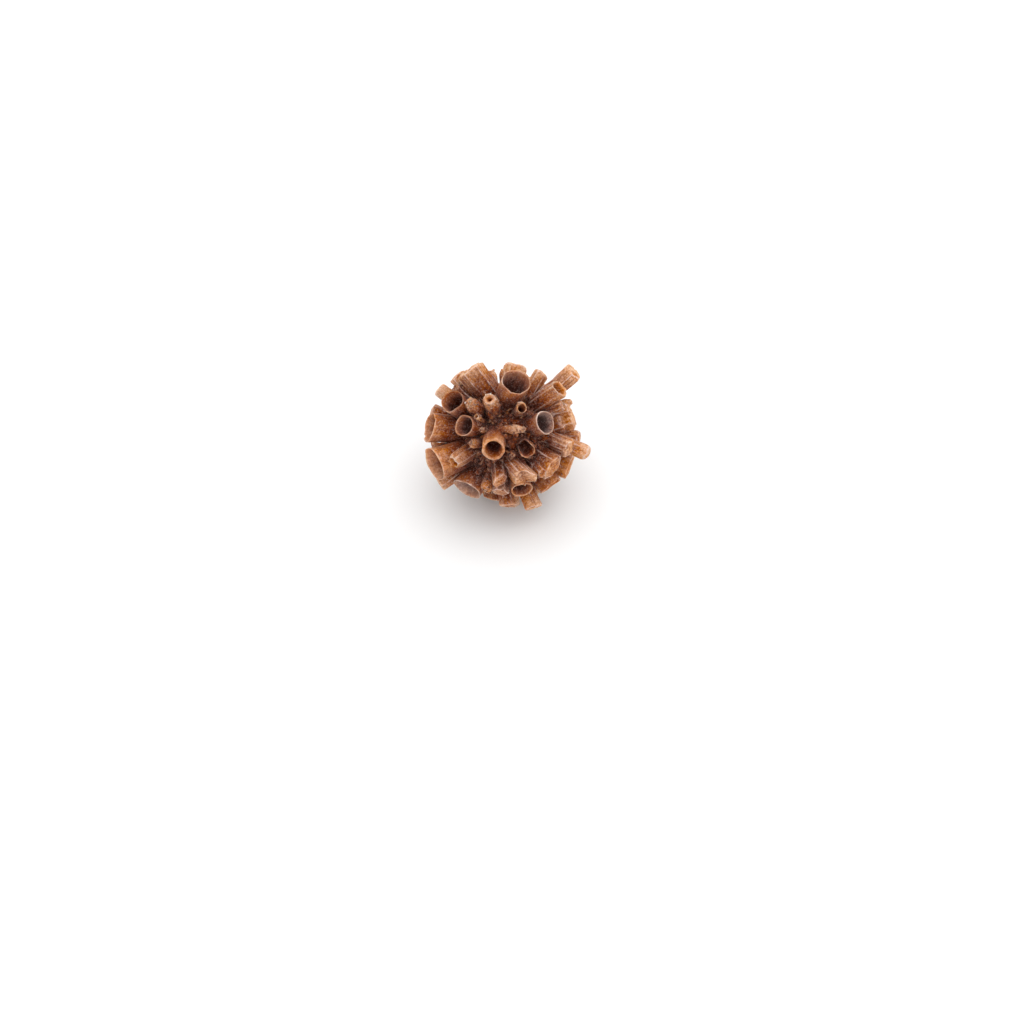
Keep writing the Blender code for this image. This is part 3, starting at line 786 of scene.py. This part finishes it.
def grow_tube(mesh, crystal, made, sizes):
    """A hollow crystal: a thin wall with a wavy rim round a smooth bore that narrows to a rounded end."""
    length, radius, seed, look = made.length, crystal.width / 2.0, made.seed, made.look
    hole = spread_round(made.corners, FORMS["cup"].spokes)
    outline, corner = hole, NO_CORNER
    if crystal.form == "prism":
        outline, corner = spread_between(made.corners, FORMS["prism"].spokes)
    full = outline * radius

    # The rim, which waves, and is chipped and here and there broken away
    turn = np.arctan2(outline[:, 1], outline[:, 0])
    waves = soft_noise(np.stack([np.cos(turn) * 1.6, np.sin(turn) * 1.6, turn * 0.0], -1) + 5.0, seed)
    chips = side_noise(full, 0.0, 1.2, 1.0, seed + 1)
    lip = (waves - 0.6) * 2.0 * sizes.rim_wave / MM - smooth(0.8, 0.93, chips) * CHIP_DEPTH
    at, depth = made.broken
    lip = lip - depth * smooth(0.1, 0.8, np.cos(turn - at) + 0.35 * (waves - 0.5))
    rim = length + lip

    # The wall's outside, with faint ribs or a prism's columns
    share = heights_of(length)[:-1, None]
    along = share * rim
    ribs = side_noise(full, along, *RIBS, seed + 2)
    fine = side_noise(full, along, *FINE_RIBS, seed + 3)
    lumps = side_noise(full, along, *TUBE_LUMPS, seed + 7)
    taper = crystal.foot + (1.0 - crystal.foot) * share
    if crystal.bore < SHALLOW_BORE:
        taper = taper - np.interp(share, *BLUNT_END) * 0.6
    inward = (1.0 - ribs) * (RIB_DEPTH * look.rib) + (1.0 - fine) * FINE_RIB_DEPTH
    inward = inward + lumps * max(0.0, look.grain - 0.5) * TUBE_LUMP_DEPTH
    if crystal.form == "prism":
        number, border, _ = columns(full * 0.94, sizes.column_width / MM, seed)
        groove = np.exp(-border / TUBE_GROOVE_WIDTH) * look.rib
        inward = inward + chance(number, 4) ** 1.5 * 0.5 * look.rib + groove * TUBE_GROOVE_DEPTH
        ribs = ribs * (1.0 - 0.7 * groove)
    outside = rings_at(full * (taper * (1.0 - inward / radius))[..., None], along)
    grain = look.grain * sizes.grain_height / MM
    outside[..., :2] *= (1.0 + (sugary(outside, seed + 4) - 0.75) * grain / radius)[..., None]

    # The rounded lip and the bore
    last = outside[-1, :, :2] / radius
    bore, mouth = hole * crystal.bore, hole * min(crystal.bore + 0.06, 0.92)
    wall = radius * (1.0 - crystal.bore)
    dip = min(wall, THICKEST_LIP)
    lips = [
        rings_at((last * (1.0 - mix) + mouth * mix) * radius, rim - below * (wall if mix < 0.1 else dip))
        for mix, below, _ in LIP_RINGS
    ]
    deep = bore_depth(crystal, made)
    down = np.array(BORE_RINGS)[:, None]
    round_end = np.sqrt(np.maximum(1.0 - down**6, 0.0004))
    swell = (side_noise(full, down * deep, *BORE_LUMPS, seed + 6) - 0.5) * BORE_LUMP_DEPTH
    narrowed = (1.0 - (1.0 - BORE_TAPER) * down) * round_end * (1.0 + swell)
    flare = np.clip(1.0 - down / 0.3, 0.0, 1.0)[..., None]
    section = (bore + (mouth - bore) * flare) * radius * narrowed[..., None]
    inside = rings_at(section, length + lip * (1.0 - down) - deep * down - 0.4 * dip)

    local = np.concatenate([outside, np.array(lips), inside])
    places = placed(uneven(local, made, sizes), made)
    lip_at, bore_at = len(outside), len(outside) + len(lips)
    edge, hollow, painted_bore_shade = np.zeros((3, *local.shape[:2]))
    # Painted highlight on the corners, near the rim and on the lip, painted shade between the ribs, and
    # painted shade that deepens down the bore
    corner_highlight = np.exp(-corner * radius / CORNER_HIGHLIGHT) * 0.8
    edge[:lip_at] = np.maximum(np.exp(-(rim - along) / RIM_HIGHLIGHT), corner_highlight)
    edge[lip_at:bore_at] = np.array([pale for _, _, pale in LIP_RINGS])[:, None]
    edge[lip_at - 1 : lip_at + 3] *= 0.5 + look.lip
    hollow[:lip_at] = np.clip((1.0 - ribs) * 0.9 - 0.25, 0.0, 1.0)
    painted_bore_shade[bore_at:] = 0.05 + (1.0 - look.bore) * (0.35 + 0.65 * down)
    grey = np.full(edge.shape, look.grey)
    grey[:lip_at] *= 0.1 + 0.9 * np.exp(-(rim - along) / 0.4)
    rise_highlight_and_shade = (rise_of(places, from_sight(crystal.tip).length, 1.1), edge, hollow)
    mesh.add_rings(places, local, rise_highlight_and_shade, (look.tone, grey, painted_bore_shade), made)
    add_grains(mesh, places[:lip_at], local[:lip_at], made)


def buried(places, crystals):
    """Which places, from the cluster's centre, lie inside a crystal."""
    found = np.zeros(len(places), bool)
    for crystal, made in crystals:
        inverse = np.array(made.stand.inverted())
        local = places @ inverse[:3, :3].T + inverse[:3, 3]
        across = np.hypot(local[:, 0], local[:, 1] / crystal.flat)
        within = (local[:, 2] > 0.0) & (local[:, 2] < made.length)
        found |= within & (across < 0.8 * crystal.foot * made.radius)
    return found


def add_block(mesh, place, way, sides, width, low, high, tip_share, tone, rng, edge=0.0):
    """One small blocky crystal from a low height to a high one along its way."""
    turns = [(index + rng.uniform(-0.2, 0.2)) / sides for index in range(sides)]
    ring = np.array([(math.cos(turn * math.tau), math.sin(turn * math.tau)) for turn in turns]) * width / 2.0
    tilt = ring @ [rng.uniform(-0.25, 0.25), rng.uniform(-0.25, 0.25)]
    shoulder = (0.5 * (1.0 + tip_share) + 0.12, high - 0.35 * width, 1.0)
    rings = ((1.0, low, 0.0), shoulder, (tip_share, high, 1.0))
    local = np.array([rings_at(ring * share, height + tilt * lean) for share, height, lean in rings])
    places = local @ turned_to(way).T + np.array(place)
    tones = tone + np.array([-0.15, 0.0, 0.12])[:, None]
    mesh.add_rings(places, local, (rise_of(places), edge, 0.0), (tones, rng.uniform(0.0, 0.5), 0.0))


def add_solid_druse(mesh, table):
    """The small pointed crystals that the solid has round its core, each a lump of fused sugary grains."""
    rng, own = random.Random(SEED), random.Random(f"{SEED} druse")
    for spot in range(DRUSE_COUNT):
        way = spiral_way(spot, DRUSE_COUNT, rng, DRUSE_SCATTER)
        reach, width = rng.uniform(*DRUSE_REACH), rng.uniform(*DRUSE_WIDTH)
        turns = [index + rng.uniform(-1.0, 1.0) * DRUSE_CORNER_SCATTER for index in range(DRUSE_SIDES)]
        if in_a_bore(way * reach, DRUSE_BORE_MARGIN, table):
            continue
        turns = np.array(turns) / DRUSE_SIDES * math.tau
        corners = np.stack([np.cos(turns), np.sin(turns)], axis=-1) * width / 2.0
        outline, _ = spread_between(corners, DRUSE_SPOKES)
        share = 1.0 - (1.0 - DRUSE_TIP_SHARE) * DRUSE_HEIGHTS
        height = DRUSE_FOOT + (reach - DRUSE_FOOT) * DRUSE_HEIGHTS
        local = rings_at(outline * (share * DRUSE_WIDTHS)[:, None, None], height[:, None])
        turned = turned_to(way)
        places = local @ turned.T + MIDDLE
        lumps = soft_noise(places / 0.8, SEED + 3) - 0.5 + 0.6 * (soft_noise(places / 0.33, SEED + 4) - 0.5)
        outward = local * (1.0, 1.0, 0.0) / np.maximum(width / 2.0, 0.1)
        places = places + lumps[..., None] * 0.5 * outward @ turned.T
        # Painted light and shade: raised lumps are paler and dips are darker
        tone = own.uniform(0.7, 1.0) + (lumps - 0.1) * 0.35
        rise_highlight_and_shade = (rise_of(places), 0.0, np.clip(0.5 - lumps, 0.0, 1.0))
        own_part_of_pattern = local + spot
        mesh.add_rings(places, own_part_of_pattern, rise_highlight_and_shade, (tone, 0.0, 0.0))


def add_crust(mesh, count, table, crystals):
    """Tiny crystals that stand at all angles on the core, and fill the gaps between the roots."""
    rng = random.Random(f"{SEED} crust")
    ways = [spiral_way(spot, count, rng, CRUST_SCATTER) for spot in range(count)]
    nearest, spread = CRUST_REACH
    reaches = [nearest + spread * rng.random() ** 1.5 for _ in ways]
    hidden = buried(np.array([way * reach for way, reach in zip(ways, reaches)]), crystals)
    for way, reach, gone in zip(ways, reaches, hidden):
        if gone or in_a_bore(way * reach, CRUST_BORE_MARGIN, table):
            continue
        width = rng.uniform(*CRUST_WIDTH)
        lean = (way + jitter(rng, 0.6)).normalized()
        sides, share, tone = rng.choice(BLOCK_SIDES), rng.uniform(0.5, 0.85), rng.uniform(0.6, 1.15)
        high = rng.uniform(*BLOCK_HEIGHT)
        add_block(mesh, CENTRE + way * reach, lean, sides, width, CRUST_FOOT - reach, high, share, tone, rng)


def add_sparkles(mesh):
    """A few small crystals painted white as glints."""
    rng = random.Random(f"{SEED} sparkles")
    for spot in SPARKLES:
        place = CENTRE + from_sight(spot)
        add_block(mesh, place, NEAR, 5, SPARKLE_WIDTH, -0.8, 0.1, 0.6, 1.0, rng, edge=SPARKLE_GLINT)


def add_core(mesh):
    """The lumpy middle that every crystal grows from, under a skin of fused grains."""
    rise = np.linspace(-0.499, 0.499, CORE_RINGS)[:, None] * math.pi
    turn = (np.arange(CORE_SPOKES) / CORE_SPOKES * math.tau)[None]
    across = np.stack([np.cos(rise) * np.cos(turn), np.cos(rise) * np.sin(turn)], axis=-1)
    way = rings_at(across, np.sin(rise))
    lump = soft_noise(way * CORE_RADIUS / CORE_LUMPS[0] + 50.0, SEED)
    grain = soft_noise(way * CORE_RADIUS / CORE_GRAINS[0] + 50.0, SEED + 1)
    local = way * (CORE_RADIUS - 0.2 + CORE_LUMPS[1] * lump + CORE_GRAINS[1] * grain)[..., None]
    # Painted shade in the low places, and a paler tone where the grains rise
    rise_highlight_and_shade = (0.1 * lump, 0.0, np.clip(1.2 - 0.9 * lump - 0.8 * grain, 0.0, 1.0))
    mesh.add_rings(local + MIDDLE, local, rise_highlight_and_shade, (0.85 + 0.5 * (grain - 0.5), 0.0, 0.0))


def add(tree, kind, inputs=(), stops=None, **settings):
    """Adds a node, its settings, its inputs by name or in order, and its ramp's stops. Gives its outputs."""
    node = tree.nodes.new(f"ShaderNode{kind}")
    for name, value in settings.items():
        setattr(node, name, value)
    for name, value in inputs.items() if isinstance(inputs, dict) else enumerate(inputs):
        if isinstance(value, bpy.types.NodeSocket):
            tree.links.new(value, node.inputs[name])
        else:
            node.inputs[name].default_value = value
    if stops:
        ramp = node.color_ramp
        while len(ramp.elements) < len(stops):
            ramp.elements.new(1.0)
        for element, (place, colour) in zip(ramp.elements, stops):
            element.position, element.color = place, (*colour, 1.0)
    return node.outputs


def stone(name, colours, stripes, grain, frosting, relief, depth):
    """A stone: how strong its stripes, grain, frosty specks and relief are, and how deep light goes in mm."""
    material = bpy.data.materials.new(name)
    material.use_nodes = True
    tree = material.node_tree
    tree.nodes.clear()
    node = partial(add, tree)
    notes = ("rise_highlight_and_shade", "tone_grey_and_bore_shade", "along")
    rise_highlight_and_shade, tone_grey_and_bore_shade, along = (node("Attribute", attribute_name=note)["Vector"] for note in notes)
    rise, edge, hollow = node("SeparateXYZ", {0: rise_highlight_and_shade})
    tone, grey, painted_bore_shade = node("SeparateXYZ", {0: tone_grey_and_bore_shade})

    # Fibres about 0.5 mm wide and 5 mm long, grains about 0.4 mm across, and clouds of 2 to 4 mm
    stretched = node("Mapping", {"Vector": along, "Scale": (2.0, 2.0, 0.2)})[0]
    fibre = node("TexNoise", {"Vector": stretched, "Scale": 1.0, "Detail": 3.0, "Roughness": 0.6})[0]
    sugar = node("TexVoronoi", {"Vector": along, "Scale": 2.6, "Smoothness": 0.4}, feature="SMOOTH_F1")
    single = node("SeparateXYZ", {0: sugar["Color"]})[0]
    haze = node("TexNoise", {"Vector": along, "Scale": 2.8, "Detail": 4.0, "Roughness": 0.75})[0]
    haze = node("MapRange", (haze, 0.28, 0.72))[0]
    speck = node("Mix", {0: 0.45, 2: haze, 3: single})[0]
    cloud = node("TexNoise", {"Vector": along, "Scale": 0.55, "Detail": 2.0})[0]

    # The stone is dark at the root and pale at the tip, and its specks are fainter within a bore
    level = node("Math", (rise, 0.86, -0.79), operation="MULTIPLY_ADD")[0]
    level = node("Math", (level, tone), operation="ADD")[0]
    inside = node("MapRange", (painted_bore_shade, 0.0, 0.06))[0]
    sheltered = node("Math", (inside, -0.35, 1.0), operation="MULTIPLY_ADD")[0]
    speck = node("Mix", {0: sheltered, 2: 0.5, 3: speck})[0]
    for source, strength in ((fibre, stripes), (speck, grain), (cloud, 0.45)):
        centred = (source, strength, -0.5 * strength)
        shift = node("Math", centred, operation="MULTIPLY_ADD")[0]
        level = node("Math", (level, shift), operation="ADD")[0]

    # Painted shade: grooves, dips and the depths of a bore are darker
    shade = level
    for depth_in, strength in ((hollow, -0.3), (painted_bore_shade, -0.8)):
        shade = node("Math", (depth_in, strength, shade), operation="MULTIPLY_ADD")[0]
    tones = (colours.umber, colours.rust, colours.amber, colours.tan, colours.honey)
    stops = [(index / 4.0, part) for index, part in enumerate(tones)]
    colour = node("ValToRGB", {0: shade}, stops=stops)[0]

    # Clouds of 3 mm and more are a little more or less orange, and grey stone is much less so
    glow = node("TexNoise", {"Vector": along, "Scale": 0.3, "Detail": 2.0})[0]
    glow = node("MapRange", (glow, 0.35, 0.65, 0.88, 1.14))[0]
    warmth = node("Math", (grey, -0.6, glow), operation="MULTIPLY_ADD")[0]
    colour = node("HueSaturation", {"Saturation": warmth, "Color": colour})[0]

    # Painted highlight: edges and rims are pale in stretches about 2 mm long, and less so in the shade near
    # the core
    patch = node("TexNoise", {"Vector": along, "Scale": 0.5, "Detail": 2.0})[0]
    patch = node("MapRange", (patch, 0.42, 0.58, 0.2))[0]
    painted_light_away_from_core = node("MapRange", (rise, 0.0, 0.5, 0.25))[0]
    edge_highlight_and_frost = node("Math", (edge, patch), operation="MULTIPLY")[0]

    # Frosty specks about 0.4 mm across, most of all where the stone is sugary
    frost = node("TexNoise", {"Vector": along, "Scale": 2.4, "Detail": 3.0, "Roughness": 0.65})[0]
    frost = node("MapRange", (frost, 0.52, 0.7, 0.0, frosting))[0]
    edge_highlight_and_frost = node("Math", (frost, sheltered, edge_highlight_and_frost), operation="MULTIPLY_ADD")[0]
    edge_highlight_and_frost = node("Math", (edge_highlight_and_frost, painted_light_away_from_core), operation="MULTIPLY")[0]
    colour = node("Mix", {0: edge_highlight_and_frost, 6: colour, 7: (*colours.pale_highlight, 1.0)}, data_type="RGBA")[2]

    # The grains glint unevenly, and they and the fibres stand out, but not within a bore
    rough = node("MapRange", (speck, 0.0, 1.0, 0.28, 0.55))[0]
    height = node("Math", (sugar["Distance"], -grain, haze), operation="MULTIPLY_ADD")[0]
    height = node("Math", (fibre, stripes * 1.5, height), operation="MULTIPLY_ADD")[0]
    outside = node("Math", (1.0, inside), operation="SUBTRACT")[0]
    height = node("Math", (height, outside), operation="MULTIPLY")[0]
    bump = node("Bump", {"Height": height, "Strength": relief, "Distance": 0.14 * MM})[0]
    shader = node(
        "BsdfPrincipled",
        {
            "Base Color": colour,
            "Roughness": rough,
            "Normal": bump,
            "IOR": 1.6,
            "Specular IOR Level": 0.12,
            "Subsurface Weight": 0.65,
            "Subsurface Radius": (1.0, 0.75, 0.55),
            "Subsurface Scale": depth * MM,
            "Sheen Weight": 0.05,
            "Sheen Roughness": 0.4,
            "Sheen Tint": (1.0, 0.9, 0.84, 1.0),
        },
    )
    node("OutputMaterial", {"Surface": shader[0]})
    return material


def fibrous_aragonite(colours):
    """Columnar aragonite as it grew: fibres run from root to tip, so its faces are striped and satiny."""
    name = "fibrous_columnar_aragonite"
    return stone(name, colours, stripes=0.55, grain=0.65, frosting=0.45, relief=0.7, depth=0.8)


def tube_aragonite(colours):
    """The wall of a hollow crystal: sugary outside with faint ribs, and smooth and dull within."""
    name = "hollow_tube_aragonite"
    return stone(name, colours, stripes=0.5, grain=0.5, frosting=0.42, relief=0.7, depth=0.7)


def sugary_aragonite(colours):
    """A crust of tiny crystals on the core and the blunt stubs: speckled, with small bright faces."""
    name = "sugary_druse_aragonite"
    return stone(name, colours, stripes=0.1, grain=0.6, frosting=0.6, relief=0.9, depth=0.4)


def grow_all(form, name, finish, sharp):
    """Grows the crystals of a form as two pieces, the named ones and those of the far side."""
    sizes, colours = bpy.context.scene.crystal_sizes, bpy.context.scene.stone_colours
    material = finish(colours)
    far_side = far_side_crystals()
    everything = {own: (crystal, grown(own, crystal)) for own, crystal in (CRYSTALS | far_side).items()}
    hollows = [pair for pair in everything.values() if pair[0].bore > SHALLOW_BORE]
    for side, table in (("front", CRYSTALS), ("back", far_side)):
        mesh = StoneMesh(hollows)
        for own, crystal in table.items():
            if crystal.form != form:
                continue
            crystal = crystal._replace(**TUNED.get(own, {}))
            grow = grow_tube if crystal.bore else grow_solid
            grow(mesh, crystal, everything[own][1], sizes)
        if mesh.count:
            mesh.finish(f"{side}_{name}", material, sharp)


class ARAGONITE_OT_tubes(Operator):
    """Grows the hollow crystals with round mouths"""

    bl_idname = "aragonite.tubes"
    bl_label = "Grow Hollow Tubes"

    def execute(self, context):
        grow_all("cup", "tubes", tube_aragonite, 40.0)
        return {"FINISHED"}


class ARAGONITE_OT_prisms(Operator):
    """Grows the six-sided prisms"""

    bl_idname = "aragonite.prisms"
    bl_label = "Grow Prisms"

    def execute(self, context):
        grow_all("prism", "prisms", fibrous_aragonite, 14.0)
        return {"FINISHED"}


class ARAGONITE_OT_twins(Operator):
    """Grows the twins, whose sides are ridged and grooved"""

    bl_idname = "aragonite.twins"
    bl_label = "Grow Ridged Twins"

    def execute(self, context):
        grow_all("twin", "twins", fibrous_aragonite, 14.0)
        return {"FINISHED"}


class ARAGONITE_OT_stubs(Operator):
    """Grows the short blunt crystals"""

    bl_idname = "aragonite.stubs"
    bl_label = "Grow Stubs"

    def execute(self, context):
        grow_all("stub", "stubs", sugary_aragonite, 30.0)
        return {"FINISHED"}


class ARAGONITE_OT_druse(Operator):
    """Grows the core and the crust of tiny crystals on it"""

    bl_idname = "aragonite.druse"
    bl_label = "Grow Druse Crust"

    def execute(self, context):
        mesh = StoneMesh()
        add_core(mesh)
        table = CRYSTALS | far_side_crystals()
        crystals = [(crystal, grown(name, crystal)) for name, crystal in table.items()]
        add_solid_druse(mesh, table.values())
        add_crust(mesh, context.scene.crystal_sizes.crust_count, table.values(), crystals)
        add_sparkles(mesh)
        mesh.finish("druse_crust", sugary_aragonite(context.scene.stone_colours), 30.0)
        return {"FINISHED"}


class ARAGONITE_OT_studio(Operator):
    """Sets the white floor, the soft light and the camera"""

    bl_idname = "aragonite.studio"
    bl_label = "Set Studio"

    def execute(self, context):
        scene, light = context.scene, context.scene.studio_light

        # Matt white paper, whose tooth takes the shine off and keeps the shadow even. Its real tooth is too
        # fine to show, so it is drawn about 3 mm across
        paper = bpy.data.materials.new("matt_white_paper")
        paper.use_nodes = True
        tree = paper.node_tree
        shader = tree.nodes["Principled BSDF"].inputs
        tooth = add(tree, "TexNoise", {"Scale": 900.0, "Detail": 2.0})[0]
        bump = add(tree, "Bump", {"Height": tooth, "Strength": 0.05, "Distance": 0.05 * MM})[0]
        tree.links.new(bump, shader["Normal"])
        shader["Base Color"].default_value = (*linear("#EFEFEF"), 1.0)
        shader["Roughness"].default_value = 0.9
        shader["Specular IOR Level"].default_value = 0.2
        data = bpy.data.meshes.new("floor")
        corners = [(x * FLOOR_HALF, y * FLOOR_HALF, 0.0) for x, y in ((-1, -1), (1, -1), (1, 1), (-1, 1))]
        data.from_pydata(corners, [], [(0, 1, 2, 3)])
        data.materials.append(paper)
        floor = bpy.data.objects.new("floor", data)
        scene.collection.objects.link(floor)

        world = scene.world or bpy.data.worlds.new("room")
        scene.world = world
        world.use_nodes = True
        sky = world.node_tree.nodes["Background"]
        sky.inputs["Color"].default_value = (1.0, 1.0, 1.0, 1.0)
        sky.inputs["Strength"].default_value = light.room_strength

        lamp = bpy.data.lights.new("soft_box", "AREA")
        lamp.shape, lamp.size, lamp.energy = "SQUARE", light.box_side, light.box_power
        box = bpy.data.objects.new("soft_box", lamp)
        box.location = (*LAMP_PLACE, light.box_height)
        box.rotation_euler = (Vector((0.0, 0.0, 0.0)) - box.location).to_track_quat("-Z", "Y").to_euler()
        scene.collection.objects.link(box)

        lens = bpy.data.cameras.new("camera")
        lens.lens, lens.sensor_width = 100.0, 36.0
        lens.clip_start = 0.01
        camera = bpy.data.objects.new("camera", lens)
        centre = CENTRE * MM
        camera.location = centre + NEAR * CAMERA_DISTANCE
        aim = centre + RIGHT * (AIM_RIGHT * MM_PER_PIXEL * MM) - UP * (AIM_DOWN * MM_PER_PIXEL * MM)
        camera.rotation_euler = (aim - camera.location).to_track_quat("-Z", "Y").to_euler()
        scene.collection.objects.link(camera)
        scene.camera = camera
        scene.view_settings.view_transform = "Standard"
        return {"FINISHED"}


STEPS = (
    ARAGONITE_OT_druse,
    ARAGONITE_OT_tubes,
    ARAGONITE_OT_prisms,
    ARAGONITE_OT_twins,
    ARAGONITE_OT_stubs,
    ARAGONITE_OT_studio,
)


class ARAGONITE_PT_steps(Panel):
    """Lists the steps that make the cluster"""

    bl_idname = "ARAGONITE_PT_steps"
    bl_label = "Aragonite Star Cluster"
    bl_space_type = "VIEW_3D"
    bl_region_type = "UI"
    bl_category = "Aragonite"

    def draw(self, context):
        for step in STEPS:
            self.layout.operator(step.bl_idname)
        for group in (context.scene.crystal_sizes, context.scene.stone_colours, context.scene.studio_light):
            for name in group.__annotations__:
                self.layout.prop(group, name)


CLASSES = (CrystalSizes, StoneColours, StudioLight, *STEPS, ARAGONITE_PT_steps)


def register():
    for part in CLASSES:
        bpy.utils.register_class(part)
    bpy.types.Scene.crystal_sizes = PointerProperty(type=CrystalSizes)
    bpy.types.Scene.stone_colours = PointerProperty(type=StoneColours)
    bpy.types.Scene.studio_light = PointerProperty(type=StudioLight)


def unregister():
    del bpy.types.Scene.crystal_sizes
    del bpy.types.Scene.stone_colours
    del bpy.types.Scene.studio_light
    for part in reversed(CLASSES):
        bpy.utils.unregister_class(part)


def main():
    register()
    bpy.ops.aragonite.druse()
    bpy.ops.aragonite.tubes()
    bpy.ops.aragonite.prisms()
    bpy.ops.aragonite.twins()
    bpy.ops.aragonite.stubs()
    bpy.ops.aragonite.studio()


if __name__ == "__main__":
    main()
